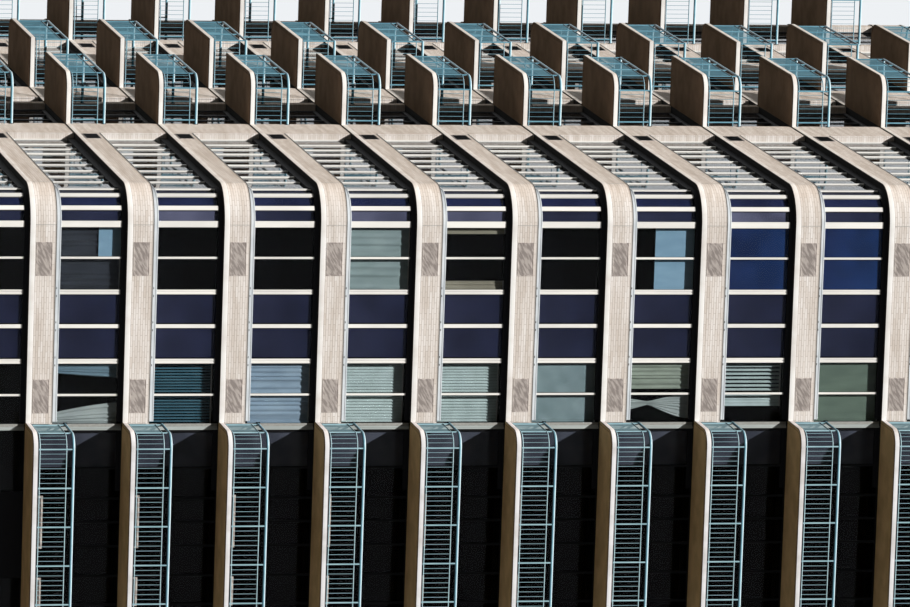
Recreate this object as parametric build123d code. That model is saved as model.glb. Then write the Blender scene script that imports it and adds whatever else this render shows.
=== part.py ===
from build123d import *
import math
import os

# Apartment block with banded brick and glass walls, a rounded corner and railed balconies.
# Millimetres, +Z up, front wall towards -Y. The origin is on the ground under the middle of the floors.

# storeys
upper_storeys = 12            # floors above the ground storey
storey_height = 2700          # underside of one floor slab to the next
ground_storey_height = 4050   # ground to the underside of the first floor slab
slab_thickness = 170
parapet_height = 950          # above the roof slab

# walls, measured inward from the edge of the floor slabs
slab_lip = 20                 # the slab edge stands this far in front of the brick
wall_thickness = 250
spandrel_height = 580         # brick band on each slab, under the windows
parapet_thickness = 250
glass_setback = 210           # brick face to the outside of the glass
glass_thickness = 30

# rounded corners
corner_radius = 1050
corner_chords = 5             # brick courses turn the corner in short straight chords
corner_pane_count = 4         # flat panes of glass round the corner

# balconies
front_balcony_projection = 1618
left_balcony_projection = 1490
balcony_corner_radius = 450
balcony_corner_chords = 3
rail_landing = 180            # width of wall behind each railing's end
front_jamb_width = 240        # narrow wall at each end of the front balconies
front_jamb_setback = 130      # brick face to the face of that wall

# front wall, from its left corner
front_window_run = 5528
post_spacing = 1086
front_bays = 5

# left wall, from its front corner
left_window_run = 9150
left_near_pier = 1670
left_balcony_lengths = [4330, 4600, 4610]
left_middle_window = 920
left_middle_pier = 1970
left_far_pier = 1630
left_far_window = 3980

# right wall
right_pier = 1800

# railings
rail_inset = 70               # slab edge to the middle of the rails
handrail_width = 60
handrail_height = 85
railing_height = 1005         # slab top to the top of the handrail
post_size = 45
left_rail_bays = 3

# entrance
doorway_width = 2200
doorway_height = 2430
frame_face = 110              # width of the doorway's frame seen from the front
frame_depth = 160

# sizes that follow from the ones above
front_balcony_length = 2 * balcony_corner_radius + front_bays * post_spacing
width = 2 * (corner_radius + front_window_run) + front_balcony_length
near_start = corner_radius + left_window_run + left_near_pier
near_end = near_start + left_balcony_lengths[0]
middle_start = near_end + rail_landing + left_middle_window + left_middle_pier
middle_end = middle_start + left_balcony_lengths[1]
far_start = middle_end + left_far_pier + left_far_window + rail_landing
far_end = far_start + left_balcony_lengths[2]
length = far_end + rail_landing + corner_radius
front_start = corner_radius + front_window_run
front_end = front_start + front_balcony_length
wall_face = slab_lip
wall_back = slab_lip + wall_thickness
glass_face = slab_lip + glass_setback
glass_back = glass_face + glass_thickness
roof_level = upper_storeys + 1


def slab_bottom(level):
    """Height of the underside of a floor slab. Level 0 lies on the ground."""
    if level == 0:
        return 0
    return ground_storey_height + (level - 1) * storey_height


def slab_top(level):
    return slab_bottom(level) + slab_thickness


def on_side(side, along, depth):
    """Point in plan, from the distance along a wall and the depth in from the slab edge."""
    if side == "front":
        return (along - width / 2, depth - length / 2)
    if side == "back":
        return (along - width / 2, length / 2 - depth)
    if side == "left":
        return (depth - width / 2, along - length / 2)
    return (width / 2 - depth, along - length / 2)


def prism(outline, bottom, top):
    """Upright solid on a closed outline in plan."""
    following = outline[1:] + outline[:1]
    area = sum(a[0] * b[1] - b[0] * a[1] for a, b in zip(outline, following))
    if area < 0:
        outline = outline[::-1]
    face = make_face(Polyline(*outline, close=True))
    return extrude(Pos(0, 0, bottom) * face, top - bottom)


def block(side, start, end, outer, inner, bottom, top):
    """Straight piece of a wall: from start to end along it, from outer to inner in depth."""
    corners = [(start, outer), (end, outer), (end, inner), (start, inner)]
    return prism([on_side(side, *corner) for corner in corners], bottom, top)


def arc_points(centre, radius, first_angle, turn, chords):
    """Points on an arc, in degrees, with one more point than chords."""
    angles = [math.radians(first_angle + turn * i / chords) for i in range(chords + 1)]
    return [(centre[0] + radius * math.cos(a), centre[1] + radius * math.sin(a)) for a in angles]


# the four corners: the sign of x, the sign of y and the angle where each arc starts
corner_places = [(-1, -1, 180), (1, -1, 270), (1, 1, 0), (-1, 1, 90)]


def corner_arc(place, depth, chords):
    """Arc round one corner, at a depth in from the slab edge."""
    sign_x, sign_y, angle = place
    centre = (sign_x * (width / 2 - corner_radius), sign_y * (length / 2 - corner_radius))
    return arc_points(centre, corner_radius - depth, angle, 90, chords)


def floor_outline():
    return [point for place in corner_places for point in corner_arc(place, 0, corner_chords)]


def corner_glass(place, bottom, top):
    """Flat panes of glass round a corner."""
    outer = corner_arc(place, glass_face, corner_pane_count)
    inner = corner_arc(place, glass_back, corner_pane_count)
    return prism(outer + inner[::-1], bottom, top)


def corner_band(place, thickness, bottom, top):
    """Brick round a corner, backed by a straight face between the walls' inner faces."""
    ends = corner_arc(place, wall_face + thickness, 1)
    outline = corner_arc(place, wall_face, corner_chords) + ends[::-1]
    return prism(outline, bottom, top)


# what each wall is made of along its length: kind, start and end
front_wall = [
    ("window", corner_radius, front_start),
    ("jamb", front_start, front_start + front_jamb_width),
    ("door", front_start + front_jamb_width, front_end - front_jamb_width),
    ("jamb", front_end - front_jamb_width, front_end),
    ("window", front_end, width - corner_radius),
]
left_wall = [
    ("window", corner_radius, near_start - left_near_pier),
    ("pier", near_start - left_near_pier, near_start + rail_landing),
    ("door", near_start + rail_landing, near_end - rail_landing),
    ("pier", near_end - rail_landing, near_end + rail_landing),
    ("window", near_end + rail_landing, middle_start - left_middle_pier),
    ("pier", middle_start - left_middle_pier, middle_start + rail_landing),
    ("door", middle_start + rail_landing, middle_end - rail_landing),
    ("pier", middle_end - rail_landing, middle_end + left_far_pier),
    ("window", middle_end + left_far_pier, far_start - rail_landing),
    ("pier", far_start - rail_landing, far_start + rail_landing),
    ("door", far_start + rail_landing, far_end - rail_landing),
    ("pier", far_end - rail_landing, length - corner_radius),
]
right_wall = [
    ("window", corner_radius, (length - right_pier) / 2),
    ("pier", (length - right_pier) / 2, (length + right_pier) / 2),
    ("window", (length + right_pier) / 2, length - corner_radius),
]
back_wall = [("window", corner_radius, width - corner_radius)]
walls = {"front": front_wall, "left": left_wall, "right": right_wall, "back": back_wall}

doorway_left = (width - doorway_width) / 2
doorway_right = (width + doorway_width) / 2


def runs(side, wanted):
    """Start and end of each stretch of one kind along a wall."""
    return [(start, end) for kind, start, end in walls[side] if kind == wanted]


def spandrels(side, level):
    """Brick bands under the windows of one wall."""
    bottom, top = slab_top(level), slab_top(level) + spandrel_height
    return [block(side, start, end, wall_face, wall_back, bottom, top) for start, end in runs(side, "window")]


def piers(side, level):
    """Full-height walls between two slabs, beside the windows and balcony doors."""
    bottom, top = slab_top(level), slab_bottom(level + 1)
    jamb_face = wall_face + front_jamb_setback
    brick = [block(side, start, end, wall_face, wall_back, bottom, top) for start, end in runs(side, "pier")]
    jambs = [block(side, start, end, jamb_face, wall_back, bottom, top) for start, end in runs(side, "jamb")]
    return brick + jambs


def windows(side, level):
    """One sheet of glass for each run of windows, from the brick to the slab above."""
    bottom, top = slab_top(level) + spandrel_height, slab_bottom(level + 1)
    sheets = runs(side, "window")
    return [block(side, start, end, glass_face, glass_back, bottom, top) for start, end in sheets]


def balcony_doors(side, level):
    """Glass from floor to ceiling behind each balcony, left open at the entrance."""
    bottom, top = slab_top(level), slab_bottom(level + 1)
    sheets = runs(side, "door")
    if side == "front" and level == 0:
        start, end = sheets[0]
        sheets = [(start, doorway_left - frame_face), (doorway_right + frame_face, end)]
    return [block(side, start, end, glass_face, glass_back, bottom, top) for start, end in sheets]


def corner_spandrels(level):
    bottom, top = slab_top(level), slab_top(level) + spandrel_height
    return [corner_band(place, wall_thickness, bottom, top) for place in corner_places]


def corner_windows(level):
    bottom, top = slab_top(level) + spandrel_height, slab_bottom(level + 1)
    return [corner_glass(place, bottom, top) for place in corner_places]


def every_storey(make):
    """Pieces of the taller ground storey, then of one upper storey repeated up to the roof."""
    return make(0) + repeat_upward(make)


def repeat_upward(make):
    """Pieces of the first upper storey, repeated up to the roof."""
    pieces = make(1)
    rises = [slab_bottom(level) - slab_bottom(1) for level in range(1, roof_level)]
    return [Pos(0, 0, rise) * piece for rise in rises for piece in pieces]


def entrance_frame():
    """Frame of the doorway with a closed panel over it, up to the first floor slab."""
    outer, inner = glass_back - frame_depth, glass_back
    bottom, top = slab_top(0), slab_bottom(1)
    whole = block("front", doorway_left - frame_face, doorway_right + frame_face, outer, inner, bottom, top)
    doorway = block("front", doorway_left, doorway_right, outer, inner, bottom, bottom + doorway_height)
    return whole - doorway


# each stack of balconies: its start and end along the wall, the radii of its two outer corners
rounded, square = balcony_corner_radius, 0
stacks = {
    "front": [(front_start, front_end, rounded, rounded)],
    "left": [
        (near_start, near_end, rounded, square),
        (middle_start, middle_end, square, rounded),
        (far_start, far_end, square, square),
    ],
}
# for the stacks of each wall: how far they reach out, the bays between their posts
# and the depth of the face that their railings end on
reach = {"front": front_balcony_projection, "left": left_balcony_projection}
rail_bays = {"front": front_bays, "left": left_rail_bays}
rail_end_depth = {"front": wall_face + front_jamb_setback, "left": wall_face}


def balcony_corner(along, turn_in, radius, inset, outer, first_angle):
    """Outer corner of a balcony, rounded or square, set in from the slab edge."""
    if not radius:
        return [(along + turn_in * inset, outer + inset)]
    centre = (along + turn_in * radius, outer + radius)
    return arc_points(centre, radius - inset, first_angle, 90, balcony_corner_chords)


def balcony_line(side, stack, inset, end_depth):
    """Line from wall to wall round a balcony, in along and depth, set in from the slab edge."""
    start, end, near_radius, far_radius = stack
    near_corner = balcony_corner(start, 1, near_radius, inset, -reach[side], 180)
    far_corner = balcony_corner(end, -1, far_radius, inset, -reach[side], 270)
    return [(start + inset, end_depth)] + near_corner + far_corner + [(end - inset, end_depth)]


def balcony_slabs(side, level):
    bottom, top = slab_bottom(level), slab_top(level)
    lines = [balcony_line(side, stack, 0, 0) for stack in stacks[side]]
    return [prism([on_side(side, *point) for point in line], bottom, top) for line in lines]


def handrails(side, level):
    """Handrail round the three open sides of each balcony, ending against the wall at both ends."""
    top = slab_top(level) + railing_height
    solids = []
    for stack in stacks[side]:
        outer = balcony_line(side, stack, rail_inset - handrail_width / 2, rail_end_depth[side])
        inner = balcony_line(side, stack, rail_inset + handrail_width / 2, rail_end_depth[side])
        plan = [on_side(side, *point) for point in outer + inner[::-1]]
        solids.append(prism(plan, top - handrail_height, top))
    return solids


def posts(side, level):
    """Upright posts under the long side of each handrail, evenly spaced."""
    bottom, top = slab_top(level), slab_top(level) + railing_height - handrail_height
    middle, half = rail_inset - reach[side], post_size / 2
    solids = []
    for start, end, near_radius, far_radius in stacks[side]:
        first = start + max(near_radius, rail_inset)
        last = end - max(far_radius, rail_inset)
        for i in range(rail_bays[side] + 1):
            at = first + (last - first) * i / rail_bays[side]
            solids.append(block(side, at - half, at + half, middle - half, middle + half, bottom, top))
    return solids


def parapet_walls():
    bottom = slab_top(roof_level)
    inner = wall_face + parapet_thickness
    sides = [("front", width), ("back", width), ("left", length), ("right", length)]
    return [
        block(side, corner_radius, run - corner_radius, wall_face, inner, bottom, bottom + parapet_height)
        for side, run in sides
    ]


def parapet_corners():
    bottom = slab_top(roof_level)
    return [corner_band(place, parapet_thickness, bottom, bottom + parapet_height) for place in corner_places]


os.makedirs("parts", exist_ok=True)


def save(name, solids):
    export_step(Compound(children=solids), os.path.join("parts", name + ".step"))


floor = prism(floor_outline(), 0, slab_thickness)
save("ground_slab", [floor])
for level in range(1, roof_level):
    save("floor_slab_%02d" % level, [Pos(0, 0, slab_bottom(level)) * floor])
save("roof_slab", [Pos(0, 0, slab_bottom(roof_level)) * floor])

for side in walls:
    save(side + "_spandrels", every_storey(lambda level: spandrels(side, level)))
    save(side + "_windows", every_storey(lambda level: windows(side, level)))
for side in ("front", "left", "right"):
    save(side + "_piers", every_storey(lambda level: piers(side, level)))
for side in stacks:
    save(side + "_balcony_doors", every_storey(lambda level: balcony_doors(side, level)))
save("corner_spandrels", every_storey(corner_spandrels))
save("corner_windows", every_storey(corner_windows))
save("entrance_frame", [entrance_frame()])

for side in stacks:
    save(side + "_balcony_slabs", repeat_upward(lambda level: balcony_slabs(side, level)))
    save(side + "_handrails", repeat_upward(lambda level: handrails(side, level)))
    save(side + "_railing_posts", repeat_upward(lambda level: posts(side, level)))

save("roof_parapet_walls", parapet_walls())
save("roof_parapet_corners", parapet_corners())
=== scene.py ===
import bpy
import bmesh
import math
import random
from mathutils import Matrix, Vector


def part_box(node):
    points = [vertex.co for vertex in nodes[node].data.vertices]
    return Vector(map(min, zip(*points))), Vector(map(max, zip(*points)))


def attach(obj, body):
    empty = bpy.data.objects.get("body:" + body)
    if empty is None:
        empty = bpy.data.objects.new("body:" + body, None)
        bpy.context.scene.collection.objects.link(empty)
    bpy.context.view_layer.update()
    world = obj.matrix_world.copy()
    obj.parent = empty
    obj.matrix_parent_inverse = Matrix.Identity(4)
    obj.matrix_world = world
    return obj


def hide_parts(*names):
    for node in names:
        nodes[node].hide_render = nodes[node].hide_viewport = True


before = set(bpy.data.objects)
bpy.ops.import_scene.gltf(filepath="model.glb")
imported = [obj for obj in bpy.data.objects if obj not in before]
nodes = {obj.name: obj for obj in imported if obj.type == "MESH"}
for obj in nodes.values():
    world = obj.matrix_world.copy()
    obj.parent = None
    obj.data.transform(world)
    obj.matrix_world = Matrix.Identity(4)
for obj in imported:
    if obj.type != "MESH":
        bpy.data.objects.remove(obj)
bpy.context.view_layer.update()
print("frame loaded, CAD nodes:", len(nodes))

# Metres, +Z up, front wall towards -Y. "along" runs down a wall from its corner at the front or
# at the left, and "depth" goes in from the edge of the floor slabs.

slabNames = ["ground_slab"] + ["floor_slab_%02d" % n for n in range(1, 13)] + ["roof_slab"]
slabBottoms = [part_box(name)[0].z for name in slabNames]
slabTops = [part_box(name)[1].z for name in slabNames]
storeyCount = len(slabNames) - 1
storeyHeight = slabBottoms[2] - slabBottoms[1]
halfWidth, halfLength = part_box("ground_slab")[1].x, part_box("ground_slab")[1].y
wallLength = {"front": 2 * halfWidth, "back": 2 * halfWidth, "left": 2 * halfLength, "right": 2 * halfLength}
brickLow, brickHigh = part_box("front_spandrels")
glassLow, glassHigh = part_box("front_windows")
postLow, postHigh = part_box("front_railing_posts")
handrailLow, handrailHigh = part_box("front_handrails")
brickDepth, brickBack = brickLow.y + halfLength, brickHigh.y + halfLength
glassDepth, glassBack = glassLow.y + halfLength, glassHigh.y + halfLength
brickHeight = brickHigh.z - slabTops[storeyCount - 1]
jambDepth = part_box("front_piers")[0].y + halfLength
rodTop = handrailHigh.z - slabTops[storeyCount - 1]         # the handrail's tube
rodBottom = postHigh.z - slabTops[storeyCount - 1]
postSize = postHigh.y - postLow.y
reach = {
    "front": -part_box("front_balcony_slabs")[0].y - halfLength,
    "left": -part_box("left_balcony_slabs")[0].x - halfWidth,
}
railInset = postLow.y + postSize / 2 + halfLength + reach["front"]
handrailWidth = 2 * (railInset - (handrailLow.y + halfLength + reach["front"]))
cornerRadius = 1.05
balconyRadius = 0.45
touch = 0.001            # two points nearer than this are one


def storeys(first=0):
    # number, floor and ceiling of each storey
    return [(level, slabTops[level], slabBottoms[level + 1]) for level in range(first, storeyCount)]


def onWall(side, along, depth):
    if side == "front":
        return (along - halfWidth, depth - halfLength)
    if side == "back":
        return (along - halfWidth, halfLength - depth)
    if side == "left":
        return (depth - halfWidth, along - halfLength)
    return (halfWidth - depth, along - halfLength)


def marksOf(node, side, atDepth=None):
    # start and end of each stretch of a node along its wall, read on the upper storeys
    axis = 0 if side in ("front", "back") else 1
    half = halfWidth if axis == 0 else halfLength
    edge = onWall(side, 0, atDepth or 0)[1 - axis]
    found = set()
    for v in nodes[node].data.vertices:
        onEdge = atDepth is None or abs(v.co[1 - axis] - edge) < 2 * touch
        if v.co.z > slabBottoms[1] - 10 * touch and onEdge:
            found.add(round(v.co[axis] + half, 3))
    marks = sorted(found)
    return list(zip(marks[::2], marks[1::2]))


windowRuns = {side: marksOf(side + "_windows", side) for side in ("front", "left", "right", "back")}
doorRuns = {side: marksOf(side + "_balcony_doors", side) for side in ("front", "left")}
stackRuns = {side: marksOf(side + "_balcony_slabs", side, 0) for side in ("front", "left")}
stackCorners = {  # radius of each balcony's two outer corners
    "front": [(balconyRadius, balconyRadius)],
    "left": [(balconyRadius, 0), (0, balconyRadius), (0, 0)],
}
railBays = {"front": 5, "left": 3}
print("windows", windowRuns, "doors", doorRuns, "balconies", stackRuns)


# Mesh making

class Shape:  # gathers closed solids that end up in one mesh
    def __init__(self):
        self.points = []
        self.faces = []
        self.uvs = []

    def rings(self, rings, loop=False, uvs=None):
        first, count = len(self.points), len(rings[0])
        for i, ring in enumerate(rings):
            self.points += ring
            self.uvs += uvs[i] if uvs else [(0, 0)] * count
        pairs = [(i, i + 1) for i in range(len(rings) - 1)]
        if loop:
            pairs.append((len(rings) - 1, 0))
        for i, j in pairs:
            for k in range(count):
                m = (k + 1) % count
                a, b = first + i * count, first + j * count
                self.faces.append((a + k, a + m, b + m, b + k))
        if not loop:
            self.faces.append(tuple(range(first, first + count)))
            last = first + (len(rings) - 1) * count
            self.faces.append(tuple(range(last, last + count)))


def boxOutline(x0, x1, y0, y1, chamfer=0.0):
    if not chamfer:
        return [(x0, y0), (x1, y0), (x1, y1), (x0, y1)]
    c = chamfer
    return [(x0 + c, y0), (x1 - c, y0), (x1, y0 + c), (x1, y1 - c),
            (x1 - c, y1), (x0 + c, y1), (x0, y1 - c), (x0, y0 + c)]


def upright(shape, side, outline, bottom, top):
    # a bar standing on an outline given in along and depth
    plan = [onWall(side, *point) for point in outline]
    shape.rings([[(x, y, bottom) for x, y in plan], [(x, y, top) for x, y in plan]])


def lying(shape, side, outline, start, end):
    # a bar along a wall, its outline given in depth and height
    shape.rings([[(*onWall(side, at, d), z) for d, z in outline] for at in (start, end)])


def post(shape, side, along, depth, height, chamfer=0.0):
    # along, depth and height are each a pair, from and to
    upright(shape, side, boxOutline(*along, *depth, chamfer), *height)


def beam(shape, side, along, depth, height, chamfer=0.0):
    lying(shape, side, boxOutline(*depth, *height, chamfer), *along)


def sweep(shape, path, profile, loop=False):
    # a profile in out and up carried along a path in plan, with out to the right of the way it runs
    count = len(path)
    rings, uvs, run = [], [], 0.0
    for i, (x, y) in enumerate(path):
        before = path[i - 1] if i or loop else None
        after = path[(i + 1) % count] if i + 1 < count or loop else None
        normals = []
        for a, b in ((before, (x, y)), ((x, y), after)):
            if a is not None and b is not None:
                length = math.hypot(b[0] - a[0], b[1] - a[1])
                normals.append(((b[1] - a[1]) / length, (a[0] - b[0]) / length))
        if i:
            run += math.hypot(x - path[i - 1][0], y - path[i - 1][1])
        nx = sum(n[0] for n in normals)
        ny = sum(n[1] for n in normals)
        scale = 2 / (nx * nx + ny * ny) if len(normals) == 2 else 1
        rings.append([(x + nx * scale * o, y + ny * scale * o, z) for o, z in profile])
        uvs.append([(run, z) for o, z in profile])
    shape.rings(rings, loop=loop, uvs=uvs)


def band(shape, path, height, inner, loop=False):
    # a flat band standing along a path, its back at inner, which is under 0
    (low, high) = height
    sweep(shape, path, [(0, low), (0, high), (inner, high), (inner, low)], loop)


def rim(shape, side, along, depth, height, width, chamfer):
    # four bars round an opening; gives its clear along and height
    (start, end), (low, high) = along, height
    clear, between = (start + width, end - width), (low + width, high - width)
    for part in ((low, between[0]), (between[1], high)):
        beam(shape, side, along, depth, part, chamfer)
    for part in ((start, clear[0]), (clear[1], end)):
        post(shape, side, part, depth, between, chamfer)
    return clear, between


def blades(shape, side, along, depth, height, pitch, thick, rise=0.014):
    # thin blades over one another that rise inwards
    (face, back), (z, top) = depth, height
    while z < top:
        lying(shape, side, [(face, z), (face, z + thick), (back, z + rise + thick), (back, z + rise)], *along)
        z += pitch


def arc(centre, radius, first, last, chords):
    angles = [math.radians(first + (last - first) * i / chords) for i in range(chords + 1)]
    return [(centre[0] + radius * math.cos(a), centre[1] + radius * math.sin(a)) for a in angles]


cornerOrder = ["front", "right", "back", "left"]
cornerTurns = {"front": (-1, -1, 180), "right": (1, -1, 270), "back": (1, 1, 0), "left": (-1, 1, 90)}
cornerChords = 16


def cornerCentre(side):
    signX, signY, angle = cornerTurns[side]
    return (signX * (halfWidth - cornerRadius), signY * (halfLength - cornerRadius))


def cornerArc(side, depth, chords=cornerChords, start=0, end=90):
    # the corner passed just before a side, going round the block from the left to the front
    angle = cornerTurns[side][2]
    return arc(cornerCentre(side), cornerRadius - depth, angle + start, angle + end, chords)


def ribbon(fromSide, fromAlong, toSide, toAlong, depth):
    # path along the walls from one place to another, counter-clockwise seen from above
    path = [onWall(fromSide, fromAlong, depth)]
    side = fromSide
    while side != toSide:
        side = cornerOrder[(cornerOrder.index(side) + 1) % 4]
        path += cornerArc(side, depth)
    end = onWall(toSide, toAlong, depth)
    if math.hypot(end[0] - path[-1][0], end[1] - path[-1][1]) > touch:
        path.append(end)
    if math.hypot(path[0][0] - path[1][0], path[0][1] - path[1][1]) < touch:
        path.pop(0)
    return path


def perimeter(depth, chords=cornerChords):
    return [point for side in cornerOrder for point in cornerArc(side, depth, chords)]


windowRibbons = [  # the windows that run on round a corner, and the two short ones on the left wall
    ("left", windowRuns["left"][0][1], "front", windowRuns["front"][0][1]),
    ("front", windowRuns["front"][1][0], "right", windowRuns["right"][0][1]),
    ("right", windowRuns["right"][1][0], "left", wallLength["left"] - cornerRadius),
    ("left", windowRuns["left"][1][1], "left", windowRuns["left"][1][0]),
    ("left", windowRuns["left"][2][1], "left", windowRuns["left"][2][0]),
]


def balconyLine(side, stack, inset, endDepth, chords=8):
    # from wall to wall round a balcony, set in from its slab's edge
    (start, end), (near, far) = stackRuns[side][stack], stackCorners[side][stack]
    outer = -reach[side]
    line = [(start + inset, endDepth)]
    for at, turn, radius, angle in ((start, 1, near, 180), (end, -1, far, 270)):
        if radius:
            line += arc((at + turn * radius, outer + radius), radius - inset, angle, angle + 90, chords)
        else:
            line.append((at + turn * inset, outer + inset))
    line.append((end - inset, endDepth))
    plan = [onWall(side, *point) for point in line]
    return plan if side == "front" else plan[::-1]


def linkObject(name, data):
    thing = bpy.data.objects.new(name, data)
    bpy.context.scene.collection.objects.link(thing)
    return thing


def makePiece(name, shape, material, replaced=(), smoothAngle=40):
    mesh = bpy.data.meshes.new(name)
    mesh.from_pydata(shape.points, [], shape.faces)
    if any(uv != (0, 0) for uv in shape.uvs):
        layer = mesh.uv_layers.new(name="wallMap")
        for loop in mesh.loops:
            layer.data[loop.index].uv = shape.uvs[loop.vertex_index]
    mesh.materials.append(material)
    work = bmesh.new()
    work.from_mesh(mesh)
    bmesh.ops.recalc_face_normals(work, faces=work.faces)
    work.to_mesh(mesh)
    work.free()
    if smoothAngle:
        mesh.shade_smooth()
        mesh.set_sharp_from_angle(angle=math.radians(smoothAngle))
    piece = linkObject(name, mesh)
    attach(piece, "root")
    if replaced:
        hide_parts(*replaced)


def dress(names, material):
    for name in names:
        node = nodes[name]
        if not node.material_slots:
            node.data.materials.append(material)
        for place in node.material_slots:
            place.material = material


# Materials

def colour(hexText):
    # sRGB hex to the linear colour that the nodes take
    parts = [int(hexText[i:i + 2], 16) / 255 for i in (1, 3, 5)]
    return tuple(c / 12.92 if c <= 0.04045 else ((c + 0.055) / 1.055) ** 2.4 for c in parts) + (1.0,)


def feed(tree, node, inputs):
    # each input gets a value, a hex colour, or a link from a socket or from a node's first live output
    for key, given in inputs.items():
        if isinstance(given, bpy.types.Node):
            given = next(socket for socket in given.outputs if socket.enabled)
        if isinstance(given, bpy.types.NodeSocket):
            tree.links.new(given, node.inputs[key])
        else:
            node.inputs[key].default_value = colour(given) if isinstance(given, str) else given


def addNode(tree, kind, inputs=None, stops=(), **settings):
    node = tree.nodes.new("ShaderNode" + kind)
    for key, value in settings.items():
        setattr(node, key, value)
    for i, (at, hexText) in enumerate(stops):      # of a colour ramp, which starts with two
        elements = node.color_ramp.elements
        elements[i].position, elements[i].color = at, colour(hexText)
    feed(tree, node, inputs or {})
    return node


# settings of a Mix node that blends colours; its inputs 6 and 7 are the two colours
blended = {"data_type": "RGBA"}
multiplied = {"data_type": "RGBA", "blend_type": "MULTIPLY"}
overlaid = {"data_type": "RGBA", "blend_type": "OVERLAY"}


def newMaterial(name, values):
    material = bpy.data.materials.new(name)
    material.use_nodes = True
    tree = material.node_tree
    shader = tree.nodes["Principled BSDF"]
    feed(tree, shader, values)
    return material, tree, shader


def lumps(tree, size, detail=3.0, stretch=(1, 1, 1)):
    # soft lumps about one size, in metres, drawn out along an axis whose stretch is under 1
    coords = addNode(tree, "TexCoord").outputs["Object"]
    drawn = addNode(tree, "Mapping", {"Vector": coords, "Scale": stretch})
    return addNode(tree, "TexNoise", {"Vector": drawn, "Scale": 1 / size, "Detail": detail})


def facing(tree, axis):
    # how squarely the surface faces along an axis, from -1 to 1
    normal = addNode(tree, "NewGeometry").outputs["Normal"]
    return addNode(tree, "SeparateXYZ", {"Vector": normal}).outputs[axis]


def storeyShare(tree, base):
    # height over a storey's base, as a share of the storey
    coords = addNode(tree, "TexCoord").outputs["Object"]
    height = addNode(tree, "SeparateXYZ", {"Vector": coords}).outputs["Z"]
    raised = addNode(tree, "Math", {0: height, 1: base}, operation="SUBTRACT")
    counted = addNode(tree, "Math", {0: raised, 1: storeyHeight}, operation="DIVIDE")
    return addNode(tree, "Math", {0: counted}, operation="FRACT")


brickwork = {
    "length": 0.305,            # a long thin brick with its joint
    "course": 0.0675,           # 40 courses to a storey
    "halfJoint": 0.0045,        # joints are 9 mm wide
    "jointDepth": 0.004,
    "grit": 0.012,              # grit is 1 or 2 mm, drawn coarser so that it shows
    "patch": 1.3, "streak": 0.22,
    "pale": "#f4ede6", "dark": "#e7ddd4", "joint": "#bfb4a9", "stain": "#c6b9ae",
    "streakTone": "#ebe8e5", "gritTones": ["#8f8372", "#fff8ea"],
}
# painted light: the front's tones darken brick and concrete, the left's tone lightens them
paintedLightTones = {
    "brick": "#d7d8dc", "concrete": "#d2d3d6",      # on the front; the left wall's tone serves both
    "left": "#fffaf8",
    "bend": 4.0,                                    # how late on the corner the tone turns
}


def paintedLightOnLeft(tree, source, frontTone):
    # painted light: where a surface faces left its brick and concrete are drawn paler, and the front's
    # darker, so that the left wall, lit by the sun only at a slant, shows nearly as light as the front; the
    # tone changes smoothly round the corner
    leftward = addNode(tree, "Math", {0: facing(tree, "X"), 1: -1.0}, operation="MULTIPLY", use_clamp=True)
    share = addNode(tree, "Math", {0: leftward, 1: paintedLightTones["bend"]}, operation="POWER")
    tone = addNode(tree, "Mix", {0: share, 6: frontTone, 7: paintedLightTones["left"]}, **blended)
    return addNode(tree, "Mix", {0: 1.0, 6: source, 7: tone}, **multiplied)


def facingBrick(name, fromMap):
    # buff wire-cut clay brick laid in running bond: matt, slightly uneven in colour from brick to
    # brick, with recessed grey-buff mortar that draws fine level lines
    material, tree, shader = newMaterial(name, {"Roughness": 0.88})
    if fromMap:
        flat = addNode(tree, "SeparateXYZ", {"Vector": addNode(tree, "UVMap", uv_map="wallMap")}).outputs
        along, up = flat["X"], flat["Y"]
    else:
        coords = addNode(tree, "TexCoord").outputs["Object"]
        flat = addNode(tree, "SeparateXYZ", {"Vector": coords}).outputs
        along, up = addNode(tree, "Math", {0: flat["X"], 1: flat["Y"]}, operation="ADD"), flat["Z"]
    level = addNode(tree, "Math", {0: up, 1: slabTops[1]}, operation="SUBTRACT")
    bricks = addNode(tree, "TexBrick", {
        "Vector": addNode(tree, "CombineXYZ", {"X": along, "Y": level}), "Scale": 1.0, "Bias": 0.0,
        "Mortar Size": brickwork["halfJoint"], "Mortar Smooth": 0.3,
        "Brick Width": brickwork["length"], "Row Height": brickwork["course"],
        "Color1": brickwork["pale"], "Color2": brickwork["dark"], "Mortar": brickwork["joint"],
    }, offset=0.5).outputs
    grit = lumps(tree, brickwork["grit"])
    weather = addNode(tree, "MapRange", {
        "Value": lumps(tree, brickwork["patch"], 4.0), "From Min": 0.45, "From Max": 1.45, "To Max": 0.8})
    stained = addNode(tree, "Mix", {0: weather, 6: bricks["Color"], 7: brickwork["stain"]}, **blended)
    rain = addNode(tree, "ValToRGB", {"Fac": lumps(tree, brickwork["streak"], 3.0, (0.12, 0.12, 1.6))},
                   [(0.38, brickwork["streakTone"]), (0.6, "#ffffff")])
    streaked = addNode(tree, "Mix", {0: 1.0, 6: stained, 7: rain}, **multiplied)
    specks = addNode(tree, "ValToRGB", {"Fac": grit},
                     [(0.3, brickwork["gritTones"][0]), (0.7, brickwork["gritTones"][1])])
    speckled = addNode(tree, "Mix", {0: 0.12, 6: streaked, 7: specks}, **overlaid)
    softGrit = addNode(tree, "Math", {0: grit, 1: 0.25}, operation="MULTIPLY")
    raised = addNode(tree, "Math", {0: softGrit, 1: bricks["Fac"]}, operation="SUBTRACT")
    # painted light: the brick is paler where it faces left
    feed(tree, shader, {
        "Base Color": paintedLightOnLeft(tree, speckled, paintedLightTones["brick"]),
        "Normal": addNode(tree, "Bump", {"Height": raised, "Distance": brickwork["jointDepth"]})})
    return material


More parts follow.
